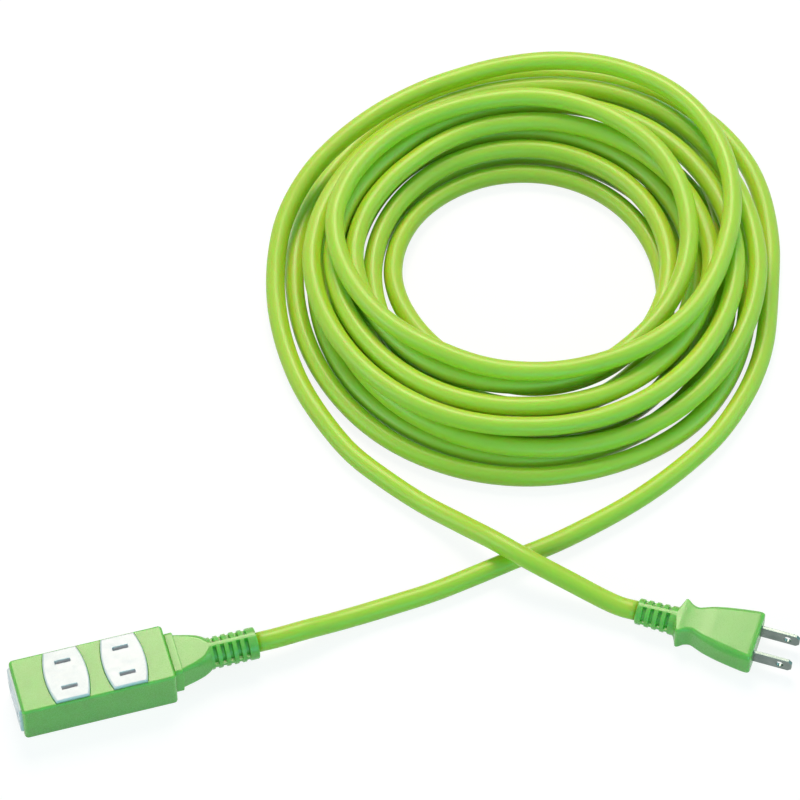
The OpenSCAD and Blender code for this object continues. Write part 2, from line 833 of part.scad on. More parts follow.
tap_shell();
tap_base();
outlet_face_1();
outlet_face_2();
outlet_face_end();
contact_carrier();
contact_bar_front();
contact_bar_back();
tap_crimps();
tap_strands();
tap_core_black();
tap_core_white();
tap_cord_end();
tap_relief();
cord_tap_lead();
cord_coil();
cord_plug_lead();
plug_body();
plug_bridge();
plug_blade_front();
plug_blade_back();
plug_crimps();
plug_strands();
plug_core_black();
plug_core_white();
plug_cord_end();
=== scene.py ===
"""Extension cord: a tap with three outlets, a coiled lime-green cord and a moulded plug."""

import math

import bmesh
import bpy
from mathutils import Matrix, Vector


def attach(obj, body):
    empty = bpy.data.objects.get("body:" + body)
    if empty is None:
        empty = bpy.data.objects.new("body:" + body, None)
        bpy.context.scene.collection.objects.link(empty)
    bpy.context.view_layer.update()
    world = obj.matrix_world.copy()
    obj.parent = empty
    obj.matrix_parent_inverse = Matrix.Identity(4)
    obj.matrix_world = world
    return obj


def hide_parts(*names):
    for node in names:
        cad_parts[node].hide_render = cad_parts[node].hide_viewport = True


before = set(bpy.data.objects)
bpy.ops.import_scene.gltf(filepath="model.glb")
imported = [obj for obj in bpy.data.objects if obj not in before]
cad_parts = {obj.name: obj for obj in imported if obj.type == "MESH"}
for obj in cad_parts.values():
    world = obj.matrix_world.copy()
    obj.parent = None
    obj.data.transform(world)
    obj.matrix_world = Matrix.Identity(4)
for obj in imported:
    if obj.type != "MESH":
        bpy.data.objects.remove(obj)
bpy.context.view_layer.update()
MM = 0.001

# Sizes are in millimetres, and the main ones are the solids' own.

# The tap's case, with its hollow (IN), the cover's ledge and the opening for the relief
CASE_X0, CASE_X1, CASE_W, CASE_H = -31.9, 33.1, 27, 19
CORNER_R, TOP_EDGE_R, FOOT_EDGE = 1.7, 1.2, 0.3
IN_X0, IN_X1, IN_Y, IN_Z = -30.3, 31.5, 11.9, 17.4
LEDGE, COVER_TOP = 0.6, 1.8
NECK_OPENING_Y, NECK_OPENING_Z = 7.6, 15.3
AXIS_Z = 9.5

# The outlets' faces and blade slots
OUTLET_XS = {"outlet_face_1": -10.4, "outlet_face_2": 14.1}
FACE_L, FACE_END_W, FACE_MID_W, FACE_Z, FACE_BACK_Z = 24.6, 14, 18, 20.2, 16.2
END_FACE_L, END_FACE_H, END_FACE_R, END_FACE_X = 23.2, 15.2, 1.6, -33.1
END_FACE_BACK_X = IN_X0 + 0.6
FACE_EDGE_R = 0.7
BLADE_PITCH, SLOT_L, SLOT_W, SLOT_R = 12.7, 7, 2, 0.35
# A window's rounded rim: (how far it spreads, depth under the case's outside), and the
# height inside the hollow at which the top windows' tools start
WINDOW_GAP, WINDOW_TOOL_Z = 0.1, 16
WINDOW_RIM = [(WINDOW_GAP, 0.3), (0.16, 0.14), (0.35, -0.02), (0.6, -0.3)]
# A blade slot with its lead-in: (how far it spreads, height over the face)
SLOT_SECTION = [(-0.18, -8), (-0.18, -0.2), (-0.12, -0.08), (0, 0.02), (0.2, 0.3)]

# The tap's strain relief: flange in the case, neck, collar, wedge and ribbed sleeve
FLANGE_X0, FLANGE_X1, FLANGE_W, FLANGE_H = 29.9, 31.3, 16, 12.4
NECK_W, NECK_H, COLLAR_W, COLLAR_H, WEDGE_W, WEDGE_H = 15, 11.4, 21, 15, 19, 13.5
COLLAR_X, WEDGE_X, SLEEVE_X, EXIT_X = 33.2, 36.7, 49.7, 70.2
SLEEVE_D, CORD_D = 13.5, 8.4
FIRST_GROOVE_X, SLEEVE_GROOVES, GROOVE_PITCH, GROOVE_DEPTH = 51.95, 5, 3.4, 2.0
# The wedge's corner radius at the collar, what it gains evenly, and at the sleeve
WEDGE_R, WEDGE_R_GAIN, WEDGE_R_END, WEDGE_STEPS = 1.5, 1.2, 6.55, 12
# A groove's section: (distance from its middle, share of its depth)
GROOVE_SECTION = [
    (-1.1, 0), (-0.86, 0.04), (-0.78, 0.14), (-0.7, 0.9), (-0.55, 1),
    (0.55, 1), (0.7, 0.9), (0.78, 0.14), (0.86, 0.04), (1.1, 0),
]
# Four webs cross the grooves: how far each reaches to either side, in degrees, and the
# angles of a quarter ring, with edges where a web meets a groove
WEB_REACH = 8
WEBBED = [0, 6.5, 8.5, 12, 20, 30, 40, 50, 60, 70, 78, 81.5, 83.5, 90]
EVEN = [9 * i for i in range(11)]
# A round section's corners stop this short of meeting
ROUND_GAP = 0.05
# Share of a small edge's size that is left at the middle of its rounding
EDGE_MID = 0.3

# Plug: its own X runs from the cord along the blades
PLUG_AT, PLUG_TURN, PLUG_Z = (228, -26.4), -34, 6.4
TAIL_D, TAIL_GROWS, TAIL_L, TAIL_CORE_R = 11, 1.4, 17.5, 4.45
RIBS_X0, RIBS_X1, FIRST_TAIL_GROOVE_X, TAIL_GROOVES = 0.8, 16.8, 3.3, 4
BLADE_W, BLADE_T, BLADE_X0, BLADE_X1, BLADE_HOLE, HOLE_X = 6.3, 1.5, 41.8, 68.5, 3.2, 63.4
# The tip's cut corners, the rounding of the edges, and how much of it comes off the cut
BLADE_TIP, BLADE_EDGE, TIP_SHRINKS = 1.4, 0.2, 0.4
# The plug in front of its ribbed tail: (x, width, height, corner radius)
PLUG_FORM = [
    (17.3, 12.5, 12.4, 4.4), (18, 14.4, 12.6, 2.8), (18.7, 17, 12.8, 1.3),
    (19.4, 17.3, 12.8, 1.1), (20.4, 16.4, 12.7, 1.3), (22, 14.4, 12.5, 1.8),
    (24.6, 13.2, 12.4, 2), (27.5, 15.2, 12.4, 2.1), (30.2, 17.5, 12.6, 2.3),
    (33, 19.3, 12.8, 2.6), (36.5, 21.3, 12.8, 2.9), (41, 23.1, 12.8, 3),
    (45.5, 24.4, 12.8, 2.8), (49.6, 25, 12.8, 2.4), (50.8, 24.9, 12.7, 2.3),
    (51.5, 24.4, 12.4, 2.2), (51.85, 23.6, 11.8, 2), (52, 22.4, 11, 1.6),
]
FORM_STEP = 0.7

# Edges that turn by more than this stay crisp.
CRISP, CRISP_ON_BLADE = math.radians(35), math.radians(28)

# Coil, by turns from its start at the right of the lowest layer: drawn in, let out, drawn in
# again, then one loose loop on top that comes down as the outermost strand.
COIL_AT, COIL_TURN, COIL_IN = (229.6, 151), -16, 60
TURNS, RINGS_PER_LOOP = 12 + 7 / 12, 48
STRETCH, LAYER_UP, EASE = 1.05, 9.0, 0.03
# (turn, distance outside the coil's inner edge)
COIL_OUT = [
    (0, 42.5), (0.04, 46.4), (0.085, 52.4), (0.13, 54.2), (0.25, 48), (0.4, 44.5), (0.46, 46),
    (0.52, 45.8), (0.64, 47), (0.75, 44), (0.8, 42.4), (0.84, 43), (0.88, 42.4), (0.92, 38.6),
    (1, 34), (1.1, 42), (1.25, 38), (1.5, 34), (1.6, 35.2), (1.75, 32.6), (1.83, 31.8),
    (1.92, 30), (1.97, 28.6), (2, 27.5), (2.12, 28.4), (2.25, 22), (2.5, 22), (2.75, 22),
    (2.85, 20.6), (3, 14), (3.12, 8.8), (3.25, 7.8), (3.38, 9), (3.45, 9.2), (3.53, 7.8),
    (3.62, 8), (3.75, 7.8), (3.85, 5.6), (3.92, 3.8), (4, 0), (4.08, -1), (4.25, -1), (4.33, 0),
    (4.4, 0.5), (4.5, -0.5), (4.56, -3), (4.62, -3.5), (4.75, 0), (4.93, 0), (5.1, 4.5),
    (6.5, 17.8), (6.75, 20.5),
    (7, 26), (7.13, 38), (7.3, 30), (7.5, 28), (7.75, 30.4),
    (8, 41), (8.14, 41), (8.25, 32.5), (8.3, 30), (8.375, 30), (8.5, 35), (8.75, 26.5),
    (9, 32), (9.14, 29), (9.25, 21.5), (9.375, 19.2), (9.5, 24.8), (9.75, 17.5),
    (10, 22.5), (10.25, 11.2), (10.375, 8.6), (10.5, 14.4), (10.75, 8), (10.88, 7.6),
    (11, 13), (11.1, 17), (11.2, 15.5), (11.3, 13), (11.48, 23), (11.66, 9.5), (11.78, 11),
    (11.84, 13), (12, 29), (12.07, 42.5), (12.11, 49.9), (12.155, 51.7), (12.2, 48.2),
    (12.25, 42.3), (12.295, 37.6), (12.335, 38.2), (12.38, 40.2), (12.42, 46), (12.46, 48),
    (12.5, 46.8), (12.57, 46.8), (12.62, 49.8),
]
# (turn, layers above the lowest)
COIL_UP = [
    (4.36, 0), (4.64, 1), (7.86, 1), (8.14, 2), (10.82, 2), (11.06, 3), (12.15, 3),
    (12.29, 2.84), (12.34, 2.68), (12.38, 2.35), (12.46, 1.1), (12.5, 0.55), (12.54, 0.18),
    (12.58, 0),
]
# (turn, shift of the loop along the coil's own X), and the same along its Y
COIL_X = [(0, 8), (2, 4), (8, 4), (11, 1), (12, 0)]
COIL_Y = [
    (0, 10), (2, 5), (4, 3), (8, 3), (10.3, 5.5), (11, 7), (11.25, 9.5), (11.75, 9.5),
    (12, 4), (12.07, 0),
]

# The cord's tube: its sides and step, the length in which the cores twist once, how far
# they shape the jacket, and the radius at which its surface pattern is laid out
CORD_SIDES, CORD_STEP, LAY_LENGTH, CORE_PRESS, PATTERN_R = 24, 3, 95, 0.05, 4

# Free stretches: x, y and the height of the cord's underside
TAP_ROUTE = [
    (92, 1.3, 4.2), (104, 3.2, 1.7), (118, 4.8, 0.3), (132, 6, 0), (149, 7.5, 0),
    (167, 10.5, 0), (186, 14, 0), (204, 17, 0), (222, 21.5, 0), (239, 26.7, 0), (255, 33, 0),
    (271, 40.8, 0), (287, 50.5, 0), (301, 62.5, 0), (313.6, 76.5, 0), (324.4, 93.5, 0),
]
PLUG_ROUTE = [
    (129, 102.5, 0), (135.4, 85, 0), (145.6, 67.8, 0.3), (157.1, 51.8, 0.4),
    (168.8, 35.8, 3.6), (179, 20, 8.8), (188, 8.5, 9.6), (202.5, -5, 6.2),
]

# Studio: the camera in millimetres; each lamp's place and size in metres, watts and colour
SENSOR_WIDTH, LENS = 36, 207.455
CAMERA_AT, CAMERA_AIM = (-158.3, -1020.5, 1618.0), (163.6, 110.1, 0)
LAMP_AIM_M, FLOOR_REACH_M = (0.16, 0.11, 0), 6
LAMPS = [
    ("key_softbox", (0.4, 1.2, 1.6), (0.9, 0.75), 25, "#ffe8d6"),
    ("left_softbox", (-1.3, 0.1, 0.7), (0.9, 0.7), 6.5, "#f0fbff"),
    ("right_fill", (1.4, -0.3, 0.7), (0.9, 0.7), 4, "#d0f6ff"),
    ("front_fill", (0.2, -1.6, 0.45), (1.6, 0.6), 8.5, "#94f6f4"),
]


# ---------------------------------------------------------------- materials

def linear(hex_colour):
    """A linear colour from sRGB hex."""
    parts = [int(hex_colour[i:i + 2], 16) / 255 for i in (1, 3, 5)]
    return [p / 12.92 if p <= 0.04045 else ((p + 0.055) / 1.055) ** 2.4 for p in parts] + [1]


def add(tree, kind, inputs, stops=(), **settings):
    """Adds a node with its settings; an input is a value or the socket it is linked to."""
    node = tree.nodes.new("ShaderNode" + kind)
    for name, value in settings.items():
        setattr(node, name, value)
    for key, value in inputs.items():
        if isinstance(value, bpy.types.NodeSocket):
            tree.links.new(value, node.inputs[key])
        else:
            node.inputs[key].default_value = value
    for i, (position, hex_colour) in enumerate(stops):
        marks = node.color_ramp.elements
        mark = marks[i] if i < 2 else marks.new(position)
        mark.position, mark.color = position, linear(hex_colour)
    return node.outputs


def finish_of(name, **surface):
    """A new material with its surface shader; returns it, its tree and the shader."""
    material = bpy.data.materials.new(name)
    material.use_nodes = True
    tree = material.node_tree
    shader = tree.nodes["Principled BSDF"]
    for key, value in surface.items():
        shader.inputs[key.replace("_", " ")].default_value = value
    return material, tree, shader.inputs


def per(*spacings):
    """A pattern's scale, from the spacing of its marks in millimetres on X, Y and Z."""
    return [1 / (spacing * MM) for spacing in spacings]


# Where most of a noise's values lie
MOST = {"From Min": 0.3, "From Max": 0.7}


def extruded_soft_pvc():
    # Soft PVC drawn through a die: semi-gloss and slightly see-through, so its highlights
    # are soft and its shaded side stays a clear green. Tone drifts slowly along the cord,
    # and faint lines follow it where the die and the drum dragged on it.
    material, tree, surface = finish_of(
        "extruded_soft_pvc_lime", IOR=1.53, Subsurface_Weight=0.85,
        Subsurface_Radius=(0.04, 1.0, 0.1), Subsurface_Scale=0.005,
    )
    straight = add(tree, "Attribute", {}, attribute_name="straight")["Vector"]
    slow = add(tree, "Mapping", {"Vector": straight, "Scale": per(22, 22, 70)})[0]
    tone = add(tree, "TexNoise", {"Vector": slow, "Scale": 1.0, "Detail": 2.0})["Fac"]
    colour = add(tree, "ValToRGB", {"Fac": tone}, [(0.3, "#c2de3a"), (0.7, "#cce444")])
    tree.links.new(colour["Color"], surface["Base Color"])
    drawn = add(tree, "Mapping", {"Vector": straight, "Scale": per(0.9, 0.9, 60)})[0]
    lines = add(tree, "TexNoise", {"Vector": drawn, "Scale": 1.0, "Detail": 3.0})["Fac"]
    rubbed = add(tree, "Mapping", {"Vector": straight, "Scale": per(1.4, 1.4, 9)})[0]
    scuffs = add(
        tree, "TexNoise", {"Vector": rubbed, "Scale": 1.0, "Detail": 4.0, "Roughness": 0.65}
    )["Fac"]
    marks = add(tree, "Math", {0: lines, 1: scuffs}, operation="MULTIPLY")[0]
    dull = add(tree, "MapRange", {
        "Value": marks, "From Min": 0.1, "From Max": 0.45, "To Min": 0.34, "To Max": 0.5,
    })[0]
    tree.links.new(dull, surface["Roughness"])
    raised = add(tree, "Bump", {"Height": lines, "Distance": 0.05 * MM})[0]
    raised = add(tree, "Bump", {"Height": scuffs, "Distance": 0.03 * MM, "Normal": raised})[0]
    tree.links.new(raised, surface["Normal"])
    return material


def moulded_pvc(name, low, high, rough):
    # PVC injected into a spark-eroded mould: satin, with a fine grain that is really about
    # 0.1 mm and is drawn at 0.35 mm so that it shows, and slow clouding where the melt ran.
    material, tree, surface = finish_of(
        name, IOR=1.53, Subsurface_Weight=0.7,
        Subsurface_Radius=(0.05, 1.0, 0.1), Subsurface_Scale=0.004,
    )
    place = add(tree, "TexCoord", {})["Object"]
    wide = add(tree, "Mapping", {"Vector": place, "Scale": per(12, 12, 12)})[0]
    cloud = add(tree, "TexNoise", {"Vector": wide, "Scale": 1.0, "Detail": 2.0})["Fac"]
    colour = add(tree, "ValToRGB", {"Fac": cloud}, [(0.3, low), (0.7, high)])
    tree.links.new(colour["Color"], surface["Base Color"])
    fine = add(tree, "Mapping", {"Vector": place, "Scale": per(0.35, 0.35, 0.35)})[0]
    grain = add(tree, "TexNoise", {"Vector": fine, "Scale": 1.0, "Detail": 2.0})["Fac"]
    dull = add(tree, "MapRange", {
        **MOST, "Value": grain, "To Min": rough - 0.04, "To Max": rough + 0.06,
    })[0]
    tree.links.new(dull, surface["Roughness"])
    raised = add(tree, "Bump", {"Height": grain, "Distance": 0.03 * MM})[0]
    tree.links.new(raised, surface["Normal"])
    return material


def pressed_urea():
    # Urea resin pressed in a polished mould: hard, white and glossy, barely uneven.
    material, tree, surface = finish_of("pressed_urea_white", IOR=1.55)
    place = add(tree, "TexCoord", {})["Object"]
    wide = add(tree, "Mapping", {"Vector": place, "Scale": per(9, 9, 9)})[0]
    cloud = add(tree, "TexNoise", {"Vector": wide, "Scale": 1.0, "Detail": 2.0})["Fac"]
    colour = add(tree, "ValToRGB", {"Fac": cloud}, [(0.3, "#e6e6ea"), (0.7, "#eeedf1")])
    tree.links.new(colour["Color"], surface["Base Color"])
    close = add(tree, "Mapping", {"Vector": place, "Scale": per(2.5, 2.5, 2.5)})[0]
    haze = add(tree, "TexNoise", {"Vector": close, "Scale": 1.0, "Detail": 4.0})["Fac"]
    dull = add(tree, "MapRange", {
        **MOST, "Value": haze, "To Min": 0.2, "To Max": 0.32,
    })[0]
    tree.links.new(dull, surface["Roughness"])
    raised = add(tree, "Bump", {"Height": haze, "Distance": 0.01 * MM})[0]
    tree.links.new(raised, surface["Normal"])
    return material


def worked_metal(name, low, high, rough, brushed):
    # Stamped strip or drawn wire: satin, with fine lines the way it was rolled or drawn.
    material, tree, surface = finish_of(name, Metallic=1.0)
    place = add(tree, "TexCoord", {})["Object"]
    wide = add(tree, "Mapping", {"Vector": place, "Scale": per(5, 5, 5)})[0]
    cloud = add(tree, "TexNoise", {"Vector": wide, "Scale": 1.0, "Detail": 3.0})["Fac"]
    colour = add(tree, "ValToRGB", {"Fac": cloud}, [(0.3, low), (0.7, high)])
    tree.links.new(colour["Color"], surface["Base Color"])
    rolled = add(tree, "Mapping", {"Vector": place, "Scale": per(*brushed)})[0]
    lines = add(tree, "TexNoise", {"Vector": rolled, "Scale": 1.0, "Detail": 3.0})["Fac"]
    dull = add(tree, "MapRange", {
        **MOST, "Value": lines, "To Min": rough - 0.06, "To Max": rough + 0.08,
    })[0]
    tree.links.new(dull, surface["Roughness"])
    raised = add(tree, "Bump", {"Height": lines, "Distance": 0.008 * MM})[0]
    tree.links.new(raised, surface["Normal"])
    return material


def core_pvc(name, low, high):
    # Thin insulation drawn over the strands: smooth and slightly glossy, with faint drawn
    # lines.
    material, tree, surface = finish_of(name, IOR=1.53)
    place = add(tree, "TexCoord", {})["Object"]
    drawn = add(tree, "Mapping", {"Vector": place, "Scale": per(12, 0.5, 0.5)})[0]
    lines = add(tree, "TexNoise", {"Vector": drawn, "Scale": 1.0, "Detail": 2.0})["Fac"]
    colour = add(tree, "ValToRGB", {"Fac": lines}, [(0.3, low), (0.7, high)])
    tree.links.new(colour["Color"], surface["Base Color"])
    dull = add(tree, "MapRange", {
        **MOST, "Value": lines, "To Min": 0.35, "To Max": 0.45,
    })[0]
    tree.links.new(dull, surface["Roughness"])
    raised = add(tree, "Bump", {"Height": lines, "Distance": 0.02 * MM})[0]
    tree.links.new(raised, surface["Normal"])
    return material


CORD_PVC = extruded_soft_pvc()
CASE_PVC = moulded_pvc("moulded_pvc_case_green", "#82c850", "#8ace58", 0.26)
SOFT_PVC = moulded_pvc("moulded_soft_pvc_green", "#82c850", "#8ace58", 0.28)
UREA = pressed_urea()
# Nickel on a stamped brass blade, worn dull: grey-green, satin along its length.
NICKEL = worked_metal(
    "nickel_plated_brass_stamped", "#6e7a74", "#828c86", 0.3, (14, 0.25, 0.25)
)
# Spring brass strip, stamped and bent: warm yellow with rolling lines.
BRASS = worked_metal("spring_brass_stamped", "#c69c4c", "#d8b060", 0.3, (10, 0.4, 0.4))
# Bare copper strands: reddish, with lines along the wire.
COPPER = worked_metal("copper_strands_drawn", "#c0704a", "#d08058", 0.35, (14, 0.25, 0.25))
BLACK_CORE = core_pvc("extruded_pvc_core_black", "#161616", "#1f1f1f")
WHITE_CORE = core_pvc("extruded_pvc_core_white", "#e2e2de", "#ecece8")
CARRIER = moulded_pvc("moulded_pvc_carrier_grey", "#4b4e52", "#565a5e", 0.5)


# ---------------------------------------------------------------- meshes

def place_in_scene(name, data):
    """A new object in the scene for a mesh, a lamp or a camera."""
    made = bpy.data.objects.new(name, data)
    bpy.context.scene.collection.objects.link(made)
    return made


def mesh_of(name, verts, faces, weld):
    """A mesh from points in millimetres, its faces turned outwards; weld joins points
    that coincide."""
    mesh = bpy.data.meshes.new(name)
    mesh.from_pydata([Vector(v) * MM for v in verts], [], faces)
    work = bmesh.new()
    work.from_mesh(mesh)
    if weld:
        bmesh.ops.remove_doubles(work, verts=work.verts, dist=0.001 * MM)
        bmesh.ops.dissolve_degenerate(work, edges=work.edges, dist=0.0001 * MM)
    bmesh.ops.recalc_face_normals(work, faces=work.faces)
    work.to_mesh(mesh)
    work.free()
    return mesh


def piece(name, verts, faces, material, slot):
    """A new piece from points in millimetres."""
    mesh = mesh_of(name, verts, faces, weld=True)
    mesh.shade_smooth()
    mesh.set_sharp_from_angle(angle=CRISP)
    mesh.materials.append(material)
    made = place_in_scene(name, mesh)
    return made


def stand_in(made, *nodes):
    """Puts a finished piece on the body, in the place of its nodes; flat faces stay flat
    next to their rounded edges."""
    made.modifiers.new("normals", "WEIGHTED_NORMAL").keep_sharp = True
    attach(made, "root")
    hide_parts(*nodes)
    return made


def skin(rings):
    """Points and faces of a closed skin over rings of equal length."""
    n = len(rings[0])
    last = (len(rings) - 1) * n
    verts = [p for ring in rings for p in ring]
    faces = [
        (i * n + k, i * n + (k + 1) % n, (i + 1) * n + (k + 1) % n, (i + 1) * n + k)
        for i in range(len(rings) - 1) for k in range(n)
    ]
    return verts, faces + [tuple(range(n))[::-1], tuple(range(last, last + n))]


def quarter_arcs(w, h, r, angles, depth=None):
    """A rectangle with round corners as four arcs; depth(angle) is taken off the arcs."""
    ring = []
    for q in range(4):
        mid = ((w / 2 - r) * (1, -1, -1, 1)[q], (h / 2 - r) * (1, 1, -1, -1)[q])
        for a in angles:
            turn = math.radians(90 * q + a)
            reach = r - (depth(a) if depth else 0)
            ring.append((mid[0] + reach * math.cos(turn), mid[1] + reach * math.sin(turn)))
    return ring


def barrel(grow):
    """Outline of a top outlet face: straight ends and bowed sides."""
    half_l, half_w = FACE_L / 2 + grow, FACE_MID_W / 2 + grow
    bow = (FACE_MID_W - FACE_END_W) / 2
    r = (half_l ** 2 + bow ** 2) / (2 * bow)
    half_steps = 14
    steps = [half_l * (i / half_steps - 1) for i in range(2 * half_steps + 1)]
    side = [(half_w - r + math.sqrt(r * r - y * y), y) for y in steps]
    return side + [(-x, -y) for x, y in side]


def cutter(rings):
    """A tool for carve, skinned over rings in millimetres."""
    return place_in_scene("cutter", mesh_of("cutter", *skin(rings), weld=False))


def carve(target, cutters):
    """Takes the cutters out of a piece for good."""
    for tool in cutters:
        step = target.modifiers.new("cut", "BOOLEAN")
        step.object = tool
        step.operation = "DIFFERENCE"
        step.solver = "EXACT"
    bpy.context.view_layer.update()
    done = bpy.data.meshes.new_from_object(
        target.evaluated_get(bpy.context.evaluated_depsgraph_get())
    )
    target.modifiers.clear()
    target.data = done
    for tool in cutters:
        bpy.data.objects.remove(tool)
    done.shade_smooth()
    done.set_sharp_from_angle(angle=CRISP)


def fillet(r):
    """Inset and drop of a rounded edge, from the side to the top."""
    turns = [math.radians(15 * i) for i in range(7)]
    return [(r - r * math.cos(a), r - r * math.sin(a)) for a in turns]


def hermite(start, end, leaving, arriving, t):
    """Between two numbers or points, on a curve with the given slopes at its ends."""
    return (
        start * (2 * t ** 3 - 3 * t * t + 1) + leaving * (t ** 3 - 2 * t * t + t)
        + end * (3 * t * t - 2 * t ** 3) + arriving * (t ** 3 - t * t)
    )


# ---------------------------------------------------------------- tap

def tap_case():
    """The case: rounded outside, hollow, with windows for the faces and the relief's neck."""
    mid, length = (CASE_X0 + CASE_X1) / 2, CASE_X1 - CASE_X0

    def ring(inset, z):
        r = CORNER_R - inset
        return [
            (mid + x, y, z)
            for x, y in quarter_arcs(length - 2 * inset, CASE_W - 2 * inset, r, EVEN)
        ]

    foot_mid = EDGE_MID * FOOT_EDGE
    rings = [ring(FOOT_EDGE, 0), ring(foot_mid, foot_mid), ring(0, FOOT_EDGE)]
    rings += [ring(inset, CASE_H - drop) for inset, drop in fillet(TOP_EDGE_R)]
    case = piece("tap_case", *skin(rings), CASE_PVC, "case_green")

    def box(x0, x1, y, z0, z1):
        return cutter([[(x0, -y, z), (x1, -y, z), (x1, y, z), (x0, y, z)] for z in (z0, z1)])

    # Every tool starts past the surface that it cuts.
    past = 1
    tools = [
        box(IN_X0, IN_X1, IN_Y, -past, IN_Z),
        box(IN_X0 - LEDGE, IN_X1 + LEDGE, IN_Y + LEDGE, -past, COVER_TOP),
        box(IN_X1 - past, CASE_X1 + past, NECK_OPENING_Y, -past, NECK_OPENING_Z),
    ]
    for outlet_x in OUTLET_XS.values():
        levels = [(WINDOW_GAP, WINDOW_TOOL_Z)]
        levels += [(lip, CASE_H - depth) for lip, depth in WINDOW_RIM]
        tools.append(cutter([
            [(outlet_x + x, y, z) for x, y in barrel(lip)] for lip, z in levels
        ]))
    levels = [(WINDOW_GAP, IN_X0 + past)]
    levels += [(lip, CASE_X0 + depth) for lip, depth in WINDOW_RIM]
    tools.append(cutter([
        [(x, y, z + AXIS_Z) for y, z in quarter_arcs(
            END_FACE_L + 2 * lip, END_FACE_H + 2 * lip, END_FACE_R + lip, EVEN)]
        for lip, x in levels
    ]))
    carve(case, tools)
    stand_in(case, "tap_shell")


def blade_slots(x, z, on_end):
    """Tools for a face's two blade slots with their lead-ins, cut down from its middle at
    x and z, or into the case's end."""
    tools = []
    for y in (-BLADE_PITCH / 2, BLADE_PITCH / 2):
        rings = []
        for grow, height in SLOT_SECTION:
            flat = quarter_arcs(
                SLOT_L + 2 * grow, SLOT_W + 2 * grow, SLOT_R + grow, EVEN[::2]
            )
            if on_end:
                rings.append([(x - height, y + v, z + u) for u, v in flat])
            else:
                rings.append([(x + u, y + v, z + height) for u, v in flat])
        tools.append(cutter(rings))
    return tools


def outlet_face(name, x):
    """A face on the tap's top, with its middle at x."""
    levels = [(0, FACE_BACK_Z)]
    levels += [(-inset, FACE_Z - drop) for inset, drop in fillet(FACE_EDGE_R)]
    rings = [[(x + u, v, z) for u, v in barrel(grow)] for grow, z in levels]
    made = piece("face_of_" + name, *skin(rings), UREA, "face_white")
    carve(made, blade_slots(x, FACE_Z, on_end=False))
    stand_in(made, name)


def outlet_face_end():
    """The face on the tap's end, away from the cord."""
    levels = [(0, END_FACE_BACK_X)]
    levels += [(inset, END_FACE_X + drop) for inset, drop in fillet(FACE_EDGE_R)]
    rings = [
        [(x, y, AXIS_Z + z) for y, z in quarter_arcs(
            END_FACE_L - 2 * inset, END_FACE_H - 2 * inset, END_FACE_R - inset, EVEN)]
        for inset, x in levels
    ]
    made = piece("face_of_outlet_face_end", *skin(rings), UREA, "face_white")
    carve(made, blade_slots(END_FACE_X, AXIS_Z, on_end=True))
    stand_in(made, "outlet_face_end")


def grooved(x0, x1, diameter_at, middles, depth_at):
    """Stations of a ribbed sleeve from x0 to x1, with grooves round the given middles."""
    marks = [(x0, 0)]
    for middle in middles:
        marks += [
            (middle + away, depth_at(middle) * share) for away, share in GROOVE_SECTION
        ]
    marks.append((x1, 0))
    return [
        (x, diameter_at(x), diameter_at(x), diameter_at(x) / 2 - ROUND_GAP, depth)
        for x, depth in marks
    ]


def ribbed_skin(stations, axis_z):
    """Skin through stations of (x, width, height, corner radius, groove depth)."""
    def groove(depth):
        return lambda angle: depth if WEB_REACH < angle < 90 - WEB_REACH else 0

    return skin([
        [(x, y, axis_z + z) for y, z in quarter_arcs(w, h, r, WEBBED, groove(depth))]
        for x, w, h, r, depth in stations
    ])


def tap_relief():
    """The tap's strain relief, in one moulding from its flange in the case to the cord."""
    stations = [
        (FLANGE_X0, FLANGE_W, FLANGE_H, 1, 0), (FLANGE_X1, FLANGE_W, FLANGE_H, 1, 0),
        (FLANGE_X1, NECK_W, NECK_H, 1, 0), (COLLAR_X, NECK_W, NECK_H, 1, 0),
    ]
    # The collar, by (x, what its rounded edges take off it, corner radius)
    stations += [
        (x, COLLAR_W - less, COLLAR_H - less, r, 0) for x, less, r in (
            (COLLAR_X, 0.6, 1.4), (COLLAR_X + 0.15, 0.15, 1.6), (COLLAR_X + 0.4, 0, 1.6),
            (WEDGE_X - 0.45, 0, 1.6), (WEDGE_X - 0.15, 0.2, 1.6), (WEDGE_X, 0.8, 1.5),
        )
    ]
    # The wedge narrows towards the sleeve, and its corners grow round at the last.
    for i in range(WEDGE_STEPS):
        t = i / WEDGE_STEPS
        stations.append((
            WEDGE_X + (SLEEVE_X - WEDGE_X) * t, WEDGE_W + (SLEEVE_D - WEDGE_W) * t, WEDGE_H,
            WEDGE_R + WEDGE_R_GAIN * t + (WEDGE_R_END - WEDGE_R - WEDGE_R_GAIN) * t ** 5, 0,
        ))
    stations += grooved(
        SLEEVE_X + 0.1, EXIT_X - 0.5, lambda x: SLEEVE_D,
        [FIRST_GROOVE_X + GROOVE_PITCH * i for i in range(SLEEVE_GROOVES)],
        lambda x: GROOVE_DEPTH,
    )
    stations += [
        (EXIT_X - 0.15, SLEEVE_D - 0.25, SLEEVE_D - 0.25, SLEEVE_D / 2 - 0.18, 0),
        (EXIT_X, SLEEVE_D - 0.9, SLEEVE_D - 0.9, SLEEVE_D / 2 - 0.5, 0),
        (EXIT_X, CORD_D + 0.1, CORD_D + 0.1, CORD_D / 2, 0),
    ]
    made = piece(
        "tap_strain_relief", *ribbed_skin(stations, AXIS_Z), SOFT_PVC, "moulding_green"
    )
    return stand_in(made, "tap_relief")


# ---------------------------------------------------------------- plug

def on_plug(made, *nodes):
    """Puts a piece, made along the plug's own axes, where the plug lies."""
    made.location = Vector((*PLUG_AT, PLUG_Z)) * MM
    made.rotation_euler.z = math.radians(PLUG_TURN)
    return stand_in(made, *nodes)


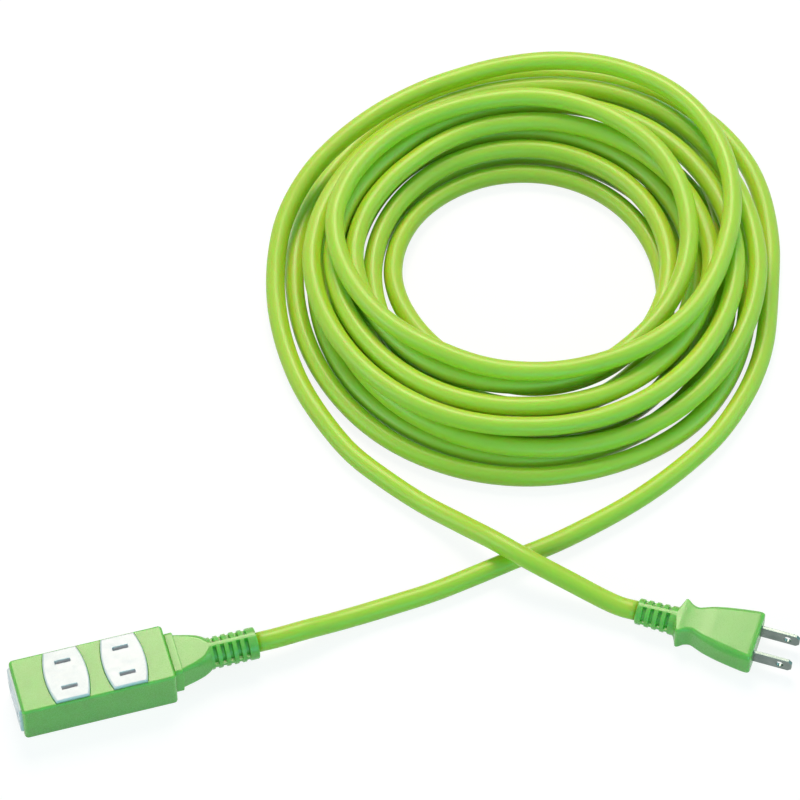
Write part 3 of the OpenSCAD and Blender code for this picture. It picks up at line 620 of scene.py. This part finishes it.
def flowing(stations, step):
    """Stations about a step apart, on a smooth curve through the given ones that doesn't
    swing past them."""
    made = []
    for i in range(len(stations) - 1):
        a, b = stations[i], stations[i + 1]
        before, after = stations[max(i - 1, 0)], stations[min(i + 2, len(stations) - 1)]
        span = b[0] - a[0]
        n = max(1, round(span / step))
        for k in range(n):
            t = k / n
            row = [a[0] + span * t]
            for j in range(1, len(a)):
                leaving = (b[j] - before[j]) / (b[0] - before[0]) * span
                arriving = (after[j] - a[j]) / (after[0] - a[0]) * span
                if (b[j] - a[j]) * (a[j] - before[j]) <= 0:
                    leaving = 0
                if (after[j] - b[j]) * (b[j] - a[j]) <= 0:
                    arriving = 0
                row.append(hermite(a[j], b[j], leaving, arriving, t))
            made.append(tuple(row))
    return made + [stations[-1]]


def plug_body():
    """The plug's moulding: ribbed tail, finger flange, waist and flared front."""
    def tail_d(x):
        return TAIL_D + TAIL_GROWS * x / TAIL_L

    # The tail starts with a rounded end where the cord goes in.
    stations = [(0, 8.5, 8.5, 4.2, 0), (0, 10.2, 10.2, 5, 0), (0.25, 10.8, 10.8, 5.3, 0)]
    stations += grooved(
        RIBS_X0, RIBS_X1, tail_d,
        [FIRST_TAIL_GROOVE_X + GROOVE_PITCH * i for i in range(TAIL_GROOVES)],
        lambda x: tail_d(x) / 2 - TAIL_CORE_R,
    )
    stations += [(*station, 0) for station in flowing(PLUG_FORM, FORM_STEP)]
    made = piece("plug_moulding", *ribbed_skin(stations, 0), SOFT_PVC, "moulding_green")
    return on_plug(made, "plug_body")


def plug_blade(name, side):
    """A flat blade with cut tip corners, rounded edges and a hole; side is -1 in front."""
    around = [math.radians(15 * i) for i in range(24)]

    def outline(inset):
        end = BLADE_X1 - inset
        wide = BLADE_W / 2 - inset
        cut = BLADE_TIP - TIP_SHRINKS * inset
        return [
            (BLADE_X0 + inset, -wide), (end - cut, -wide), (end, -wide + cut),
            (end, wide - cut), (end - cut, wide), (BLADE_X0 + inset, wide),
        ]

    def hole(grow):
        r = BLADE_HOLE / 2 + grow
        return [(HOLE_X + r * math.cos(a), r * math.sin(a)) for a in around]

    shape = bmesh.new()
    half_t, edge_mid = BLADE_T / 2, EDGE_MID * BLADE_EDGE
    levels = [
        (BLADE_EDGE, -half_t), (edge_mid, edge_mid - half_t), (0, BLADE_EDGE - half_t),
        (0, half_t - BLADE_EDGE), (edge_mid, half_t - edge_mid), (BLADE_EDGE, half_t),
    ]
    loops = {}
    for kind in (outline, hole):
        for i, (inset, y) in enumerate(levels):
            ring = [shape.verts.new(Vector((x, y, z)) * MM) for x, z in kind(inset)]
            loops[kind, i] = ring
            if i:
                under = loops[kind, i - 1]
                for k in range(len(ring)):
                    j = (k + 1) % len(ring)
                    shape.faces.new((under[k], under[j], ring[j], ring[k]))
    for i in (0, len(levels) - 1):
        rims = [loops[kind, i] for kind in (outline, hole)]
        edges = [
            shape.edges.get((ring[k], ring[(k + 1) % len(ring)]))
            for ring in rims for k in range(len(ring))
        ]
        bmesh.ops.triangle_fill(shape, edges=edges, use_beauty=True)
    bmesh.ops.recalc_face_normals(shape, faces=shape.faces)
    made = piece(name, [], [], NICKEL, "blade_nickel")
    shape.to_mesh(made.data)
    shape.free()
    made.data.transform(Matrix.Translation((0, side * BLADE_PITCH / 2 * MM, 0)))
    made.data.shade_smooth()
    made.data.set_sharp_from_angle(angle=CRISP_ON_BLADE)
    return on_plug(made, name.replace("prong", "blade"))


# ---------------------------------------------------------------- cord

def eased(marks, t):
    """The value between a list's marks at turn t, with its corners eased."""
    def straight(at):
        if at <= marks[0][0]:
            return marks[0][1]
        for (t0, v0), (t1, v1) in zip(marks, marks[1:]):
            if at <= t1:
                return v0 + (v1 - v0) * (at - t0) / (t1 - t0)
        return marks[-1][1]

    return (straight(t - EASE) + 2 * straight(t) + straight(t + EASE)) / 4


def coil_point(t):
    """A point of the coil, t turns from its start in the lowest layer."""
    a, turn = 2 * math.pi * t, math.radians(COIL_TURN)
    r = COIL_IN + eased(COIL_OUT, t)
    x = eased(COIL_X, t) + r * math.cos(a)
    y = eased(COIL_Y, t) + STRETCH * r * math.sin(a)
    return Vector((
        COIL_AT[0] + x * math.cos(turn) - y * math.sin(turn),
        COIL_AT[1] + x * math.sin(turn) + y * math.cos(turn),
        CORD_D / 2 + LAYER_UP * eased(COIL_UP, t),
    ))


def cord_route():
    """The whole free cord, from the tap's strain relief to the plug's."""
    rings = round(TURNS * RINGS_PER_LOOP)
    coil = [coil_point(TURNS * i / rings) for i in range(rings + 1)]
    tap_end = Vector((EXIT_X, 0, AXIS_Z))
    plug_end = Vector((*PLUG_AT, PLUG_Z))
    turn = math.radians(PLUG_TURN)
    plug_way = Vector((math.cos(turn), math.sin(turn), 0))
    tap_lead, plug_lead = (
        [Vector((x, y, under + CORD_D / 2)) for x, y, under in route]
        for route in (TAP_ROUTE, PLUG_ROUTE)
    )
    return [
        tap_end, tap_end + Vector((CORD_D, 0, 0)), *tap_lead, *coil, *plug_lead,
        plug_end - CORD_D * plug_way, plug_end,
    ]


def curve_through(points, step):
    """Points about a step apart on a smooth curve through the given ones."""
    made = []
    for i in range(len(points) - 1):
        p1, p2 = points[i], points[i + 1]
        p0 = points[i - 1] if i else p1 + (p1 - p2)
        p3 = points[i + 2] if i + 2 < len(points) else p2 + (p2 - p1)
        d0, d1, d2 = ((b - a).length ** 0.5 for a, b in ((p0, p1), (p1, p2), (p2, p3)))
        m1 = (p1 - p0) / d0 - (p2 - p0) / (d0 + d1) + (p2 - p1) / d1
        m2 = (p2 - p1) / d1 - (p3 - p1) / (d1 + d2) + (p3 - p2) / d2
        m1, m2 = m1 * d1, m2 * d1
        n = max(1, round((p2 - p1).length / step))
        for k in range(n):
            made.append(hermite(p1, p2, m1, m2, k / n))
    return made + [points[-1]]


def cord():
    """One tube over the whole route, faintly shaped by the two cores twisted inside it."""
    path = curve_through(cord_route(), CORD_STEP)
    sides = CORD_SIDES
    verts, straight, along = [], [], 0
    for i, p in enumerate(path):
        if i:
            along += (p - path[i - 1]).length
        ahead = (path[min(i + 1, len(path) - 1)] - path[max(i - 1, 0)]).normalized()
        across = Vector((0, 0, 1)).cross(ahead).normalized()
        up = ahead.cross(across)
        for k in range(sides):
            a = 2 * math.pi * k / sides - math.pi / 2
            turned = 2 * (a - 2 * math.pi * along / LAY_LENGTH)
            r = CORD_D / 2 - CORE_PRESS * (1 - math.cos(turned)) / 2
            verts.append(p + r * (math.cos(a) * across + math.sin(a) * up))
            straight.append(
                Vector((PATTERN_R * math.cos(a), PATTERN_R * math.sin(a), along)) * MM
            )
    n = len(path)
    faces = [
        (i * sides + k, (i + 1) * sides + k, (i + 1) * sides + (k + 1) % sides,
         i * sides + (k + 1) % sides)
        for i in range(n - 1) for k in range(sides)
    ]
    faces += [tuple(range(sides)), tuple(range((n - 1) * sides, n * sides))[::-1]]
    mesh = bpy.data.meshes.new("cord_jacket")
    mesh.from_pydata([v * MM for v in verts], [], faces)
    rest = mesh.attributes.new("straight", "FLOAT_VECTOR", "POINT")
    rest.data.foreach_set("vector", [c for v in straight for c in v])
    mesh.shade_smooth()
    mesh.materials.append(CORD_PVC)
    made = place_in_scene("cord_jacket", mesh)
    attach(made, "root")
    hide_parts("cord_tap_lead", "cord_coil", "cord_plug_lead")
    return made, path, along


# ---------------------------------------------------------------- studio

def seen_directly(tree, strength, otherwise):
    """A strength for rays that show the background itself, and another for all others."""
    path = add(tree, "LightPath", {})
    straight = add(
        tree, "Math", {0: path["Is Camera Ray"], 1: path["Is Glossy Ray"]}, operation="MAXIMUM"
    )[0]
    direct = add(
        tree, "Math", {0: straight, 1: path["Is Transmission Ray"]}, operation="MAXIMUM"
    )[0]
    return add(tree, "MapRange", {"Value": direct, "To Min": otherwise, "To Max": strength})[0]


def studio():
    """Camera, four soft lamps, a cool dim world that fills the shadows, and a pale floor."""
    camera = place_in_scene("camera", bpy.data.cameras.new("camera"))
    camera.data.sensor_width, camera.data.lens = SENSOR_WIDTH, LENS
    camera.location = Vector(CAMERA_AT) * MM
    aim = Vector(CAMERA_AIM) * MM - camera.location
    camera.rotation_euler = aim.to_track_quat("-Z", "Y").to_euler()
    bpy.context.scene.camera = camera

    for name, at, size, power, colour in LAMPS:
        light = bpy.data.lights.new(name, "AREA")
        light.shape, light.size, light.size_y = "RECTANGLE", *size
        light.energy, light.color = power, linear(colour)[:3]
        lamp = place_in_scene(name, light)
        lamp.location = at
        aim = Vector(LAMP_AIM_M) - lamp.location
        lamp.rotation_euler = aim.to_track_quat("-Z", "Y").to_euler()

    world = bpy.data.worlds.new("studio")
    world.use_nodes = True
    tree = world.node_tree
    background = tree.nodes["Background"].inputs
    background["Color"].default_value = linear("#a4f0fa")
    strength = seen_directly(tree, strength=1.0, otherwise=0.25)
    tree.links.new(strength, background["Strength"])
    bpy.context.scene.world = world

    # The floor shows as near white with the object's shadow, but lights the object only as
    # a mid-grey one would.
    material = bpy.data.materials.new("pale_studio_floor")
    material.use_nodes = True
    tree = material.node_tree
    tree.nodes.remove(tree.nodes["Principled BSDF"])
    plain = add(tree, "BsdfDiffuse", {
        "Color": seen_directly(tree, strength=0.18, otherwise=0.5),
    })[0]
    glow = add(tree, "Emission", {
        "Strength": seen_directly(tree, strength=0.88, otherwise=0.0),
    })[0]
    both = add(tree, "AddShader", {0: plain, 1: glow})[0]
    tree.links.new(both, tree.nodes["Material Output"].inputs["Surface"])
    far = FLOOR_REACH_M
    floor = bpy.data.meshes.new("floor")
    floor.from_pydata(
        [(-far, -far, 0), (far, -far, 0), (far, far, 0), (-far, far, 0)], [], [(0, 1, 2, 3)]
    )
    floor.materials.append(material)
    place_in_scene("floor", floor)
    bpy.context.scene.view_settings.view_transform = "Standard"


# ---------------------------------------------------------------- assembly

studio()
jacket, route, cord_length = cord()
tap_case()
for face_name, face_x in OUTLET_XS.items():
    outlet_face(face_name, face_x)
outlet_face_end()
relief = tap_relief()
body = plug_body()
prongs = [plug_blade("plug_prong_front", -1), plug_blade("plug_prong_back", 1)]

CARRIED = {
    "tap_base": CASE_PVC, "contact_carrier": CARRIER, "contact_bar_front": BRASS,
    "contact_bar_back": BRASS, "tap_crimps": BRASS, "tap_strands": COPPER,
    "tap_core_black": BLACK_CORE, "tap_core_white": WHITE_CORE, "tap_cord_end": SOFT_PVC,
    "plug_bridge": CARRIER, "plug_crimps": BRASS, "plug_strands": COPPER,
    "plug_core_black": BLACK_CORE, "plug_core_white": WHITE_CORE, "plug_cord_end": SOFT_PVC,
}
for node_name, material in CARRIED.items():
    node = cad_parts[node_name]
    node.data.materials.clear()
    node.data.materials.append(material)
